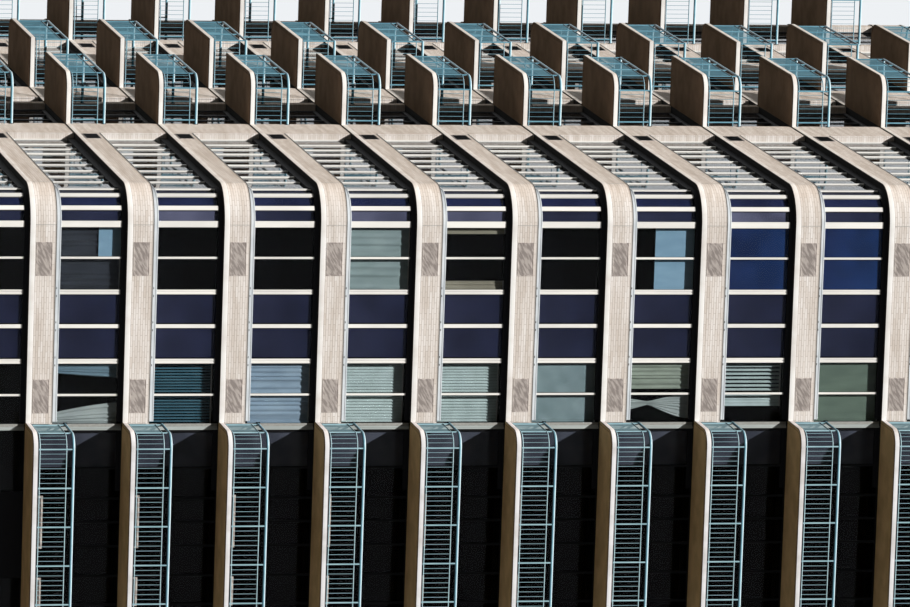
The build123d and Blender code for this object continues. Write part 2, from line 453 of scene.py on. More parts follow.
paintWork = {
    "wallEdge": ["#f8f5f0", "#e6dfd8"],         # clean and dirty
    "balconyEdge": ["#f1efef", "#d3ceca"],
    "frontSoffitPaintedLight": ["#dfc091", "#c8ab80"],      # unpainted undersides, clean and stained; the front balconies' is drawn pale as painted light
    # painted shade: the left balconies' undersides are drawn darker
    "leftSoffitPaintedShade": ["#937c69", "#7f6a58"],
    "wallSoffitPaintedShade": ["#100f0e", "#0b0a09"],       # painted shade: near black under the narrow overhang over the windows
    "deck": ["#5a544b", "#49443d"],             # trodden tops
    "run": 0.7, "lump": 0.6,                    # sizes of the dirt
    "grain": 0.02, "grainDepth": 0.0015,        # marks of the boards and the brush
    "paintedShadeFoot": "#1f1b18",                      # painted shade: the dark lowest strip of an edge
    "footHeight": {"wall": 0.02, "balcony": 0.026},
    "paintedShadeTop": "#34363a",                     # and painted shade: a dark line along a balcony's top
    "headHeight": 0.028,
}


def paintedConcrete(name, edges, soffit, kind):
    # cast concrete with a mineral paint: chalky near-white edges with faint runs of dirt, a brown-grey
    # unpainted underside that is painted light under the front balconies and painted shade elsewhere, strips
    # of painted shade along its edges, and a grey screed on top
    material, tree, shader = newMaterial(name, {"Roughness": 0.9, "Specular IOR Level": 0.1})
    runs = addNode(tree, "ValToRGB", {"Fac": lumps(tree, paintWork["run"], 5.0, (1, 1, 0.5))},
                   [(0.3, edges[1]), (0.55, edges[0])])
    dirt = lumps(tree, paintWork["lump"], 4.0)
    under = addNode(tree, "ValToRGB", {"Fac": dirt}, [(0.35, soffit[1]), (0.65, soffit[0])])
    deck = addNode(tree, "ValToRGB", {"Fac": dirt},
                   [(0.35, paintWork["deck"][1]), (0.65, paintWork["deck"][0])])
    height, up = storeyShare(tree, slabBottoms[1]), facing(tree, "Z")
    tone = paintedLightOnLeft(tree, runs, paintedLightTones["concrete"])
    # painted shade: a dark strip along the top of a balcony's edge, under the railing
    if kind == "balcony":
        head = (slabTops[1] - slabBottoms[1] - paintWork["headHeight"]) / storeyHeight
        shadedTop = addNode(tree, "Math", {0: height, 1: head}, operation="GREATER_THAN")
        tone = addNode(tree, "Mix", {0: shadedTop, 6: tone, 7: paintWork["paintedShadeTop"]}, **blended)
    # painted shade: a dark strip at the foot of every edge
    foot = paintWork["footHeight"][kind] / storeyHeight
    for measure, test, limit, other in (
            (height, "LESS_THAN", foot, paintWork["paintedShadeFoot"]),
            (up, "LESS_THAN", -0.8, under), (up, "GREATER_THAN", 0.9, deck)):
        share = addNode(tree, "Math", {0: measure, 1: limit}, operation=test)
        tone = addNode(tree, "Mix", {0: share, 6: tone, 7: other}, **blended)
    grain = lumps(tree, paintWork["grain"], 5.0)
    feed(tree, shader, {
        "Base Color": tone,
        "Normal": addNode(tree, "Bump", {"Height": grain, "Distance": paintWork["grainDepth"]})})
    return material


def mottled(tree, shader, pattern, stops, relief, depth):
    # a colour that wanders between two tones, over a fine relief
    feed(tree, shader, {
        "Base Color": addNode(tree, "ValToRGB", {"Fac": pattern}, stops),
        "Normal": addNode(tree, "Bump", {"Height": relief, "Distance": depth})})


metalSkin = {"grime": 0.6, "peel": 0.004, "peelDepth": 0.0002}     # peel is 1 mm, drawn coarser


def coatedMetal(name, base, shade, roughness):
    # aluminium with a baked powder coat or dull anodising: an even satin skin with a very fine
    # orange peel and a little grime that lies in soft vertical runs
    material, tree, shader = newMaterial(name, {"Roughness": roughness})
    grime = lumps(tree, metalSkin["grime"], 4.0, (1, 1, 0.3))
    peel = lumps(tree, metalSkin["peel"], 2.0)
    mottled(tree, shader, grime, [(0.38, shade), (0.62, base)], peel, metalSkin["peelDepth"])
    return material


louvrePaint = {
    # painted light and shade: the tone of the slanting streaks
    "base": "#aba29d", "streak": "#837a76",
    "dent": 0.062, "dentDepth": 0.002, "slant": -30, "length": 4.5,
}


def streakedLouvre(name):
    # pressed aluminium louvre with a dull grey-brown coat: the blades dent a little, and the slanting streaks
    # where they catch the light are put into the colour as painted highlight and shade
    material, tree, shader = newMaterial(name, {"Roughness": 0.5})
    coords = addNode(tree, "TexCoord").outputs["Object"]
    slanted = addNode(tree, "Mapping", {      # this type turns before it scales
        "Vector": coords, "Rotation": (0, math.radians(louvrePaint["slant"]), 0),
        "Scale": (louvrePaint["length"], 1.0, 1.0)}, vector_type="TEXTURE")
    dents = addNode(tree, "TexNoise", {"Vector": slanted, "Scale": 1 / louvrePaint["dent"], "Detail": 3.0})
    stops = [(0.44, louvrePaint["streak"]), (0.58, louvrePaint["base"])]
    mottled(tree, shader, dents, stops, dents, louvrePaint["dentDepth"])
    return material


railPaint = {
    "handrail": ["#6c98a9", "#568294"],
    "front": ["#8ca9b3", "#7a99a4"],            # painted light: the front's thin bars are drawn paler than the left's
    # painted shade: the left's bars are drawn darker
    "left": ["#608c9d", "#4d7789"],
    # painted light on top and painted shade underneath
    "chalk": "#d8e8ee", "grime": "#16303d",
    "patch": 0.25, "brushMark": 0.01, "brushDepth": 0.0003,
}


def railEnamel(name, skinTones):
    # aluminium railing in weathered enamel: a satin blue-green skin, with painted light that makes it nearly
    # white where it faces the sky and painted shade that makes it dark underneath
    material, tree, shader = newMaterial(
        name, {"Roughness": 0.42, "Coat Weight": 0.08, "Coat Roughness": 0.15, "Specular IOR Level": 0.2})
    patches, up = lumps(tree, railPaint["patch"], 5.0, (1, 1, 0.5)), facing(tree, "Z")
    skin = addNode(tree, "ValToRGB", {"Fac": patches}, [(0.35, skinTones[1]), (0.65, skinTones[0])])
    skyward = addNode(tree, "MapRange", {"Value": up, "From Min": 0.1, "From Max": 0.1 + 1 / 1.5})
    # painted shade: darker where the rail faces down
    below = addNode(tree, "MapRange", {"Value": up, "From Min": -0.1, "From Max": -0.1 - 1 / 2.2})
    litFromAbove = addNode(tree, "Mix", {0: skyward, 6: skin, 7: railPaint["chalk"]}, **blended)
    marks = lumps(tree, railPaint["brushMark"])
    feed(tree, shader, {
        "Base Color": addNode(tree, "Mix", {0: below, 6: litFromAbove, 7: railPaint["grime"]}, **blended),
        "Normal": addNode(tree, "Bump", {"Height": marks, "Distance": railPaint["brushDepth"]})})
    return material


glassWork = {
    "ior": 1.13,            # real glass has 1.5; the mirrored balconies are this faint in the picture
    "roughness": 0.015,
    "ripple": 0.9, "rippleDepth": 0.0008,
}


def tintedGlass(name, tint, dusty, throughLight):
    # float glass tinted grey in the melt: clear and smooth, so that it shows a dark room behind it
    # and a faint mirror of the sky, with a trace of dust; lamps reach the curtains through it
    material, tree, shader = newMaterial(
        name, {"Roughness": glassWork["roughness"], "IOR": glassWork["ior"], "Transmission Weight": 1.0})
    ripple = lumps(tree, glassWork["ripple"], 1.0)
    mottled(tree, shader, ripple, [(0.3, dusty), (0.7, tint)], ripple, glassWork["rippleDepth"])
    rays = addNode(tree, "LightPath").outputs
    passed = addNode(tree, "Math", {0: rays["Is Shadow Ray"], 1: rays["Is Diffuse Ray"]}, operation="MAXIMUM")
    clear = addNode(tree, "BsdfTransparent", {"Color": throughLight})
    mix = addNode(tree, "MixShader", {0: passed, 1: shader, 2: clear})
    feed(tree, tree.nodes["Material Output"], {"Surface": mix})
    return material


clothWork = {"thread": 0.004, "threadDepth": 0.0004, "dye": 0.25}


def clothMaterial(name, base, shade):
    # plain-woven curtain cloth: matt, a little light comes through it, with soft uneven dye; the
    # threads are drawn 4 mm apart, coarser than real ones, so that they show at all
    material, tree, shader = newMaterial(
        name, {"Roughness": 0.95, "Sheen Weight": 0.2, "Sheen Roughness": 0.5})
    coords = addNode(tree, "TexCoord").outputs["Object"]
    weave = addNode(tree, "TexWave", {      # a wave's length is 1/20 at scale 1
        "Vector": coords, "Scale": 1 / (clothWork["thread"] * 20), "Distortion": 0.5}, bands_direction="Z")
    dye = lumps(tree, clothWork["dye"], 3.0, (1, 1, 0.3))
    mottled(tree, shader, dye, [(0.35, shade), (0.65, base)], weave.outputs["Fac"], clothWork["threadDepth"])
    return material


def panelWithPaintedReflection(name, foot, head):
    # enamel fired on the back of a pane: even, deep and smooth, with a painted reflection of the sky: its
    # colour runs from foot to head of each storey and is mottled as by mirrored clouds
    material, tree, shader = newMaterial(name, {"Roughness": 0.6, "Specular IOR Level": 0.05})
    shade = addNode(tree, "ValToRGB", {"Fac": storeyShare(tree, slabTops[1])}, [(0.3, foot), (0.9, head)])
    paintedCloudReflection = addNode(tree, "ValToRGB", {"Fac": lumps(tree, 0.9, 2.0)}, [(0.35, "#d2d2d4"), (0.65, "#ffffff")])
    feed(tree, shader, {"Base Color": addNode(tree, "Mix", {0: 1.0, 6: shade, 7: paintedCloudReflection}, **multiplied)})
    return material


def plainFinish(name, base, shade, roughness, lump, gloss=0.3, relief=0.0004):
    material, tree, shader = newMaterial(name, {"Roughness": roughness, "Specular IOR Level": gloss})
    tone = lumps(tree, lump, 4.0)
    mottled(tree, shader, tone, [(0.35, shade), (0.65, base)], tone, relief)
    return material


feltWork = {
    "length": 7.5, "width": 0.92, "lap": 0.02, "grit": 0.06, "puddle": 2.2, "relief": 0.004,
    "pale": "#858581", "dark": "#62625f", "seam": "#2b2b2a", "puddleTone": "#cfcdc6",
}


def feltSheets(name):
    # bitumen felt with pressed-in grit, laid in sheets: grey, matt and speckled, each sheet a little
    # different, with a black bead of bitumen along every lap; grit is drawn coarser than its 1 mm
    material, tree, shader = newMaterial(name, {"Roughness": 0.95})
    sheets = addNode(tree, "TexBrick", {
        "Vector": addNode(tree, "TexCoord").outputs["Object"], "Scale": 1.0, "Bias": 0.0,
        "Mortar Size": feltWork["lap"], "Mortar Smooth": 0.2,
        "Brick Width": feltWork["length"], "Row Height": feltWork["width"],
        "Color1": feltWork["pale"], "Color2": feltWork["dark"], "Mortar": feltWork["seam"],
    }, offset=0.4).outputs
    grit = lumps(tree, feltWork["grit"], 5.0)
    specks = addNode(tree, "ValToRGB", {"Fac": grit}, [(0.35, "#555555"), (0.65, "#b0b0b0")])
    puddles = addNode(tree, "ValToRGB", {"Fac": lumps(tree, feltWork["puddle"], 4.0)},
                      [(0.4, feltWork["puddleTone"]), (0.6, "#ffffff")])
    speckled = addNode(tree, "Mix", {0: 0.5, 6: sheets["Color"], 7: specks}, **overlaid)
    softGrit = addNode(tree, "Math", {0: grit, 1: 0.3}, operation="MULTIPLY")
    raised = addNode(tree, "Math", {0: softGrit, 1: sheets["Fac"]}, operation="ADD")
    feed(tree, shader, {
        "Base Color": addNode(tree, "Mix", {0: 1.0, 6: speckled, 7: puddles}, **multiplied),
        "Normal": addNode(tree, "Bump", {"Height": raised, "Distance": feltWork["relief"]})})
    return material


wallBrick = facingBrick("buffFacingBrick", False)
cornerBrick = facingBrick("buffFacingBrickRoundCorner", True)
floorConcrete = paintedConcrete(
    "paintedFloorConcrete", paintWork["wallEdge"], paintWork["wallSoffitPaintedShade"], "wall")
balconyConcrete = {
    "front": paintedConcrete(
        "paintedFrontBalconyConcrete", paintWork["balconyEdge"], paintWork["frontSoffitPaintedLight"], "balcony"),
    "left": paintedConcrete(
        "paintedLeftBalconyConcrete", paintWork["wallEdge"], paintWork["leftSoffitPaintedShade"], "balcony"),
}
jambCoat = coatedMetal("silverAnodisedAluminium", "#989e9d", "#888e8d", 0.45)
creamCoat = coatedMetal("creamPowderCoatedAluminium", "#d3d1cd", "#c5c3c0", 0.45)
paleBlueCoat = coatedMetal("paleBluePowderCoatedAluminium", "#bcc1c6", "#adb3b9", 0.4)
flashingCoat = coatedMetal("greyAnodisedFlashing", "#6b6763", "#575451", 0.5)
bronzeCoat = coatedMetal("darkBronzeAnodisedAluminium", "#1b1b1f", "#131417", 0.45)
louvreCoat = streakedLouvre("greyBrownLouvreAluminium")
tealEnamel = railEnamel("tealEnamelledAluminium", railPaint["handrail"])
# lit and shaded copies of one enamel: painted light on the front, painted shade on the left
barEnamel = {
    "front": railEnamel("frontLitTealEnamelledAluminium", railPaint["front"]),
    "left": railEnamel("deepTealEnamelledAluminium", railPaint["left"]),
}
windowGlass = tintedGlass("greyTintedFloatGlass", "#dde2e6", "#d3d8de", "#d9dcdf")
doorGlass = tintedGlass("darkTintedFloatGlass", "#b5b9c0", "#abafb7", "#bec1c6")
navyPanel = panelWithPaintedReflection("navyBackPaintedPanel", "#353750", "#292d49")
# painted reflection: the corner panes' deep blue and purple-grey mirror the sky
cornerBluePanel = panelWithPaintedReflection("deepBlueCornerReflectionPanel", "#2d345c", "#252e55")
greyPanel = panelWithPaintedReflection("purpleGreyCornerReflectionPanel", "#7b7992", "#6c6b85")
# painted reflection: blue where the panes mirror the sky
skyReflectionPanel = panelWithPaintedReflection("blueSkyReflectionPanel", "#243663", "#26477f")
# painted shade: the slate panel beside the balcony doors darkens towards its foot
sidePanel = panelWithPaintedReflection("slateBackPaintedPanel", "#84858e", "#b6b7c0")
# flat black paint, and painted shade: it stands in for the shadow under the slabs
shadeBlackCoat = plainFinish("blackTrimAndPaintedShade", "#08080b", "#050507", 0.7, 0.4, 0.1)
# tooled silicone: a dull, rubbery joint
sealant = plainFinish("greySiliconeSealant", "#8a8a87", "#7a7a77", 0.7, 0.05)
# painted shade: a dull near-black lining that stands in for the dark of unlit rooms behind the windows
roomShade = plainFinish("unlitRoomPaintedShade", "#08080a", "#050507", 1.0, 0.5, 0.0)
roofFelt = feltSheets("mineralBitumenRoofFelt")
print("materials made")


# Floor slabs: plates with rounded edges

slabEdge = {"arris": 0.012, "topArris": 0.03, "steps": 3, "cornerChords": 20}
dripGroove = (0.06, 0.02, 0.012)        # in a balcony's underside: from the edge, width, depth


def plate(shape, outlineAt, bottom, top, low, high, groove=None):
    # a flat plate whose edge is rounded below and above; outlineAt gives its outline at an inset
    levels = []
    if groove:
        near, wide, deep = groove
        levels += [(near + wide, bottom), (near + wide, bottom + deep), (near, bottom + deep), (near, bottom)]
    turns = [math.radians(90 * i / slabEdge["steps"]) for i in range(slabEdge["steps"] + 1)]
    levels += [(low * (1 - math.sin(a)), bottom + low * (1 - math.cos(a))) for a in turns]
    levels += [(high * (1 - math.cos(a)), top - high * (1 - math.sin(a))) for a in turns]
    shape.rings([[(x, y, z) for x, y in outlineAt(inset)] for inset, z in levels])


def makeFloorSlabs():
    for name, bottom, top in zip(slabNames, slabBottoms, slabTops):
        shape = Shape()
        plate(shape, lambda inset: perimeter(inset, slabEdge["cornerChords"]), bottom, top,
              slabEdge["arris"], slabEdge["topArris"])
        makePiece("cast_" + name, shape, floorConcrete, (name,))


def makeBalconySlabs(side):
    shape = Shape()
    for bottom, top in zip(slabBottoms[1:-1], slabTops[1:-1]):
        for stack in range(len(stackRuns[side])):
            plate(shape, lambda inset: balconyLine(side, stack, inset, 0), bottom, top,
                  slabEdge["arris"], slabEdge["topArris"], dripGroove)
    makePiece("cast_%s_balcony_slabs" % side, shape, balconyConcrete[side],
              (side + "_balcony_slabs",))


makeFloorSlabs()
for side in ("front", "left"):
    makeBalconySlabs(side)
print("floor and balcony slabs made")


# Brickwork: round corners, parapet and coping; the straight brick stays as the CAD has it

parapet = {
    "coping": 0.07, "copingDrip": 0.03, "thickness": 0.25,
    "overhang": 0.02,                   # inwards
    "slope": 0.02, "nose": (0.004, 0.012),      # of the coping's top
    "tin": 0.003,                       # thickness of the coping's edges
    "felt": 0.012, "feltEdge": (0.002, 0.004),
}


def makeCornerBrick():
    shape = Shape()
    inner = brickDepth - brickBack
    for level, floor, ceiling in storeys():
        for side in cornerOrder:
            band(shape, cornerArc(side, brickDepth), (floor, floor + brickHeight), inner)
    makePiece("round_corner_brick", shape, cornerBrick, ("corner_spandrels",))


def makeParapet():
    bottom, top = slabTops[-1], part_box("roof_parapet_walls")[1].z
    brickTop = top - parapet["coping"]
    inner = -parapet["thickness"]
    brick, coping, felt = Shape(), Shape(), Shape()
    loop = perimeter(brickDepth)
    band(brick, loop + loop[:1], (bottom, brickTop), inner)
    out, back, tin = brickDepth, inner - parapet["overhang"], parapet["tin"]
    low, (noseIn, noseDown) = brickTop - parapet["copingDrip"], parapet["nose"]
    sweep(coping, loop, [
        (out, low), (out, top - parapet["slope"]), (out - noseIn, top - noseDown), (back, top), (back, low),
        (back + tin, low), (back + tin, brickTop + touch), (out - tin, brickTop + touch), (out - tin, low)],
        loop=True)
    plate(felt, lambda inset: perimeter(brickDepth + parapet["thickness"] + inset),
          bottom, bottom + parapet["felt"], *parapet["feltEdge"])
    makePiece("parapet_brick", brick, cornerBrick, ("roof_parapet_walls", "roof_parapet_corners"))
    makePiece("parapet_coping", coping, creamCoat)
    makePiece("roof_felt", felt, roofFelt)


makeCornerBrick()
makeParapet()
dress([side + "_spandrels" for side in cornerOrder] + ["left_piers", "right_piers"], wallBrick)
dress([side + "_windows" for side in cornerOrder], windowGlass)
dress(["front_balcony_doors", "left_balcony_doors"], doorGlass)
dress(["entrance_frame"], shadeBlackCoat)
print("brickwork made")


# Windows: uprights, aprons, flashings and heads

windowFrames = {
    "face": {"front": 0.185, "left": 0.195, "right": 0.185, "back": 0.185},   # of the uprights
    "back": 0.236, "chamfer": 0.006,
    "widths": {
        "thin": 0.058, "thick": 0.105, "double": 0.13, "fin": 0.175, "end": 0.05, "jamb": 0.168},
    "cornerPanes": 3,
    "finWidth": 0.13,           # the uprights between the flat panes of a round corner
    "groove": 0.02,             # between the halves of a double upright, as wide as deep
    "grooveBack": 0.005,        # its back is set in, to hide in the glass
    "endGap": (0.007, 0.018),   # what evenly spread uprights keep from the ends of their run
    "jambAt": 6.734,
    "jambParts": [(0.08, 0.12, 0.19), (0.12, 0.168, 0.15)],     # start, end, depth
    "jambSeal": (0.0, 0.08, 0.21),
    "jambBack": 0.27, "jambChamfer": 0.004,
    "brickStrip": 0.034,        # flush brick before the jamb
    "apronFace": 0.19, "apronHeight": 0.143,        # the pale panel under the glass
    "apronFoot": 0.02, "apronSlope": 0.012, "apronRise": 0.004,
    # the rounded cap on an apron: out from its face and up from its top
    "apronCap": [(0.012, -0.02), (0.012, 0.006), (0.002, 0.012), (-0.02, 0.012), (-0.02, -0.02)],
    "flashingLip": 0.012,       # how far in from the slab edge the flashing's nose is
    "flashingDrop": 0.014, "flashingNose": (0.006, 0.012), "flashingBack": 0.022,
    "headFace": 0.173, "headHeight": 0.12, "leftShadeHeadHeight": 0.2,
    "stripDepth": 0.29,         # how far back aprons, flashings and heads run
}
weepSlots = {"rise": 0.055, "offset": 0.11, "halfWidth": 0.028, "height": 0.018, "relief": 0.003}

frontUprights = [(1.057, "fin"), (1.999, "thin"), (2.953, "double"), (3.910, "thick"), (4.892, "double"),
                 (5.837, "thin"), (windowFrames["jambAt"], "jamb")]
leftUprights = [(1.057, "fin"), (2.28, "thin"), (3.23, "double"), (4.29, "thin"), (5.39, "thick"),
                (6.35, "thin"), (7.45, "double"), (8.30, "thin"), (9.20, "thick"), (10.175, "end"),
                (16.405, "end"), (17.275, "end"),
                (25.525, "end"), (26.50, "thin"), (27.49, "thick"), (28.48, "thin"), (29.455, "end")]


def evenUprights(start, end, count, firstKind, lastKind):
    # the sides that the pictures don't show repeat the same modules
    kinds = ["thin", "double", "thin", "thick"]
    inner = [(start + (end - start) * i / count, kinds[(i - 1) % 4]) for i in range(1, count)]
    gap = windowFrames["endGap"][0]
    return [(start + gap, firstKind)] + inner + [(end - gap, lastKind)]


rightEnd = windowRuns["right"][0][1] - windowFrames["endGap"][1]
rightStart = windowRuns["right"][1][0] + windowFrames["endGap"][1]
uprights = {
    "front": frontUprights + [(wallLength["front"] - at, kind) for at, kind in reversed(frontUprights)],
    "left": leftUprights + [(wallLength["left"] - 1.057, "fin")],
    "right": evenUprights(cornerRadius, rightEnd, 16, "fin", "end")
    + evenUprights(rightStart, wallLength["right"] - cornerRadius, 16, "end", "fin"),
    "back": evenUprights(cornerRadius, wallLength["back"] - cornerRadius, 18, "fin", "fin"),
}


def makeUprights():
    back, chamfer = windowFrames["back"], windowFrames["chamfer"]
    seals, jambs = Shape(), Shape()
    jambParts = [(jambs, part) for part in windowFrames["jambParts"]] + [(seals, windowFrames["jambSeal"])]
    for side in cornerOrder:
        face = windowFrames["face"][side]
        shape = Shape()
        for level, floor, top in storeys():
            height = (floor + brickHeight + windowFrames["apronHeight"], top)
            for at, kind in uprights[side]:
                half = windowFrames["widths"][kind] / 2
                if kind == "jamb":
                    away = 1 if at < halfWidth else -1
                    for target, (a0, a1, depth) in jambParts:
                        along = sorted((at + away * (a0 - half), at + away * (a1 - half)))
                        post(target, side, along, (depth, windowFrames["jambBack"]), (floor, top),
                             windowFrames["jambChamfer"])
                elif kind == "double":
                    gap = windowFrames["groove"] / 2
                    post(shape, side, (at - half, at - gap), (face, back), height, chamfer)
                    post(shape, side, (at + gap, at + half), (face, back), height, chamfer)
                    inner = (face + windowFrames["groove"], back - windowFrames["grooveBack"])
                    post(shape, side, (at - gap, at + gap), inner, height)
                else:
                    post(shape, side, (at - half, at + half), (face, back), height, chamfer)
        makePiece(side + "_window_uprights", shape, creamCoat)
    makePiece("front_jamb_frames", jambs, jambCoat, ("front_piers",))
    makePiece("front_jamb_seals", seals, sealant)


def makeCornerUprights():
    shape = Shape()
    panes, half = windowFrames["cornerPanes"], windowFrames["finWidth"] / 2
    outline = boxOutline(
        -half, half, windowFrames["face"]["front"], windowFrames["back"], windowFrames["chamfer"])
    for level, floor, top in storeys():
        bottom = floor + brickHeight + windowFrames["apronHeight"]
        for side in cornerOrder:
            centre = Vector(cornerCentre(side))
            for i in range(1, panes):
                turn = math.radians(cornerTurns[side][2] + 90 * i / panes)
                out = Vector((math.cos(turn), math.sin(turn)))
                plan = [centre + out * (cornerRadius - d) + out.orthogonal() * a for a, d in outline]
                shape.rings([[(p.x, p.y, z) for p in plan] for z in (bottom, top)])
    makePiece("corner_window_uprights", shape, creamCoat)


def makeCornerGlass():
    # the picture shows three flat panes at a round corner, where the CAD's glass has four
    shape = Shape()
    for level, floor, top in storeys():
        for side in cornerOrder:
            band(shape, cornerArc(side, glassDepth, windowFrames["cornerPanes"]), (floor + brickHeight, top),
                 glassDepth - glassBack)
    makePiece("corner_glass", shape, windowGlass, ("corner_windows",), smoothAngle=0)


def makeEndGlass():
    # the front windows run on past their bay, as far as the jamb beside the balcony
    glass, brick = Shape(), Shape()
    start = windowRuns["front"][0][1] + touch
    end = windowFrames["jambAt"] - windowFrames["widths"]["jamb"] / 2
    strip = windowFrames["brickStrip"]
    for level, floor, top in storeys():
        sill = floor + brickHeight
        for a0, a1 in ((start, end), (wallLength["front"] - end, wallLength["front"] - start)):
            post(glass, "front", (a0, a1), (glassDepth, glassBack), (sill, top))
            post(brick, "front", (a0, a1), (jambDepth, glassBack), (floor, sill))
            flush = (a0, a0 + strip) if a0 < halfWidth else (a1 - strip, a1)
            post(brick, "front", flush, (brickDepth, jambDepth + touch), (floor, sill))
    makePiece("front_end_glass", glass, windowGlass)
    makePiece("front_end_brick", brick, wallBrick, smoothAngle=0)


def makeWindowBands():
    apron, flashing, head = Shape(), Shape(), Shape()
    apronFace, headFace = windowFrames["apronFace"], windowFrames["headFace"]
    lip, deep = windowFrames["flashingLip"], windowFrames["stripDepth"]
    foot, slope, rise = windowFrames["apronFoot"], windowFrames["apronSlope"], windowFrames["apronRise"]
    noseThick, noseHigh = windowFrames["flashingNose"]
    for level, floor, top in storeys():
        sill = floor + brickHeight
        high = sill + windowFrames["apronHeight"]
        for run in windowRibbons:
            path, back, low = ribbon(*run, apronFace), apronFace - deep, sill + foot
            sweep(apron, path, [
                (0, low), (0, high - slope), (-slope, high), (back, high + rise), (back, low)])
            sweep(apron, path, [(out, high + up) for out, up in windowFrames["apronCap"]])
            back, low = lip - deep, sill - windowFrames["flashingDrop"]
            sweep(flashing, ribbon(*run, lip), [
                (0, low), (0, sill + noseHigh), (back, sill + windowFrames["flashingBack"]),
                (back, sill + touch), (-noseThick, sill + touch), (-noseThick, low)])
            # painted shade: the heads are a black band under the slab, in front of the uprights' tops
            low, back = top - windowFrames["headHeight"], headFace - deep
            band(head, ribbon(*run, headFace), (low, top), back)
        # painted shade: on the left wall the black band reaches lower, over the uprights' shaded tops
        path = ribbon("left", windowRuns["left"][0][1], "left", cornerRadius, headFace - 2 * touch)
        band(head, path, (top - windowFrames["leftShadeHeadHeight"], top), back)
    makePiece("window_aprons", apron, paleBlueCoat)
    makePiece("window_flashings", flashing, flashingCoat)
    makePiece("window_heads", head, shadeBlackCoat)


def makeWeepSlots():
    shape = Shape()
    face, half, relief = windowFrames["apronFace"], weepSlots["halfWidth"], weepSlots["relief"]
    for side in cornerOrder:
        for at, kind in uprights[side]:
            if kind in ("double", "thick"):
                for level, floor, top in storeys():
                    z = floor + brickHeight + weepSlots["rise"]
                    for centre in (at - weepSlots["offset"], at + weepSlots["offset"]):
                        post(shape, side, (centre - half, centre + half), (face - relief, face + relief),
                             (z, z + weepSlots["height"]))
    makePiece("apron_weep_slots", shape, bronzeCoat)


makeUprights()
makeCornerUprights()
makeCornerGlass()
makeEndGlass()
makeWindowBands()
makeWeepSlots()
print("window frames made")


# Louvred vents let into the brick under the windows

vents = {
    "width": 0.94, "height": (0.03, 0.475), "rim": 0.022, "rimFace": 0.006, "rimChamfer": 0.003,
    "pitch": 0.026, "blade": (0.009, 0.0195), "bladeThick": 0.003, "backing": 0.0185,
    "front": [2.00, 5.84, wallLength["front"] - 5.84, wallLength["front"] - 2.00],
    "left": [9.53, 28.45],
    "right": [3.0, 6.95, 10.9, 14.85, 20.6, 24.55, 28.5, 32.45],
    "back": [3.0, 6.9, wallLength["back"] - 6.9, wallLength["back"] - 3.0],
}


def makeVents():
    rims, louvres, leftLouvres, backing = Shape(), Shape(), Shape(), Shape()
    half, depth = vents["width"] / 2, (vents["rimFace"], brickDepth + 2 * touch)
    foot, head = vents["height"]
    for side in cornerOrder:
        bladeShape, backShape = (leftLouvres, leftLouvres) if side == "left" else (louvres, backing)
        for at in vents[side]:
            for level, floor, top in storeys(1):
                clear, (low, high) = rim(
                    rims, side, (at - half, at + half), depth, (floor + foot, floor + head),
                    vents["rim"], vents["rimChamfer"])
                post(backShape, side, clear, (vents["backing"], brickDepth + touch), (low, high))
                blades(bladeShape, side, clear, vents["blade"], (low, high - vents["pitch"]), vents["pitch"],
                       vents["bladeThick"])
    makePiece("vent_rims", rims, louvreCoat)
    makePiece("vent_louvres", louvres, louvreCoat)
    makePiece("left_vent_louvres", leftLouvres, shadeBlackCoat)
    makePiece("vent_backing", backing, louvreCoat)


makeVents()
print("vents made")


# Railings

railing = {
    "upper": 0.77, "lower": 0.035, "railHeight": 0.026, "railWidth": 0.032, "railChamfer": 0.005,
    "baluster": 0.0125, "spacing": 0.1357,
    "wallGap": 0.13,            # from the wall to the first post
    "postShare": 0.8,           # the posts look slimmer than the CAD's square ones
    "postTop": 0.4,             # they end this far up in the handrail's tube
    "postChamfer": 0.004,
    "plate": 0.054, "plateHeight": 0.012, "plateChamfer": 0.006,
    "bracketWidth": 0.1, "bracketHeight": 0.12, "bracketThick": 0.012,
}


def alongLine(line, spacing):
    # points evenly spread along a path in plan
    lengths = [math.hypot(b[0] - a[0], b[1] - a[1]) for a, b in zip(line, line[1:])]
    total = sum(lengths)
    count = max(2, round(total / spacing))
    found, step = [], total / count
    for i in range(1, count):
        want, passed = i * step, 0.0
        for (a, b), length in zip(zip(line, line[1:]), lengths):
            if passed + length >= want:
                share = (want - passed) / length
                found.append((a[0] + (b[0] - a[0]) * share, a[1] + (b[1] - a[1]) * share))
                break
            passed += length
    return found


def postPlaces(side, stack):
    (start, end), (near, far) = stackRuns[side][stack], stackCorners[side][stack]
    first, last = start + max(near, railInset), end - max(far, railInset)
    bays = railBays[side]
    return [(first + (last - first) * i / bays, railInset - reach[side]) for i in range(bays + 1)]


def returnPosts(side, stack, endDepth):
    # posts in the short sides of a railing: beside the wall and where the rounded corner ends
    found = []
    for at, radius in zip((stackRuns[side][stack][0] + railInset, stackRuns[side][stack][1] - railInset),
                          stackCorners[side][stack]):
        found.append((at, endDepth - railing["wallGap"]))
        if radius > railInset:
            found.append((at, radius - reach[side]))
    return found


def circle(x, y, radius, count=6):
    angles = [2 * math.pi * i / count for i in range(count)]
    return [(x + radius * math.cos(a), y + radius * math.sin(a)) for a in angles]


